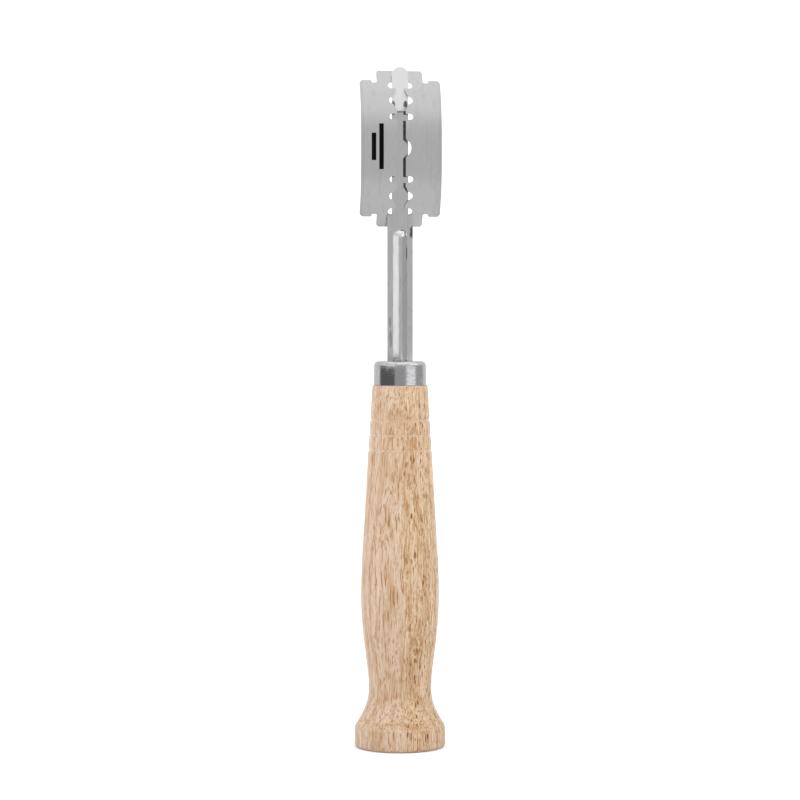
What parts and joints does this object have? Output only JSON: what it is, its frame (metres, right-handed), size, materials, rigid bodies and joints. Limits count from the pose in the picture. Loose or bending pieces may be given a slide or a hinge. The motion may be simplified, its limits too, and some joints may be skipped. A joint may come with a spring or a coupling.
{
  "type": "bread lame",
  "caption": "Upright bread lame: turned wooden handle with ringed neck and flared butt, steel ferrule, ribbed steel shank and a bowed, removable double-edged razor blade.",
  "frame": {"origin": "centre of the handle's flat butt face, on the handle's axis", "axes": "+Z along the handle's axis towards the blade, -Y out of the blade's bowed front face, +X to the right when looking at that face; the tool stands upright on its butt"},
  "size_m": [0.0244, 0.0244, 0.1829],
  "materials": {
    "wood": "sanded, unvarnished, pale open-pored hardwood",
    "ferrule_steel": "polished, bright",
    "brad_steel": "filed flush",
    "adhesive": "set epoxy",
    "strip_steel": "stamped stainless strip, satin polish",
    "blade_steel": "fine satin stainless with ground cutting edges"
  },
  "bodies": {
    "holder": {"handle": "wood", "ferrule": "ferrule_steel", "ferrule_brad": "brad_steel", "tang_adhesive": "adhesive", "blade_holder": "strip_steel"},
    "blade": {"razor_blade": "blade_steel"}
  },
  "joints": [
    {"name": "blade_slide", "type": "slide", "parent": "holder", "child": "blade", "axis": [0, 0, 1], "range_m": [0, 0.043]}
  ]
}
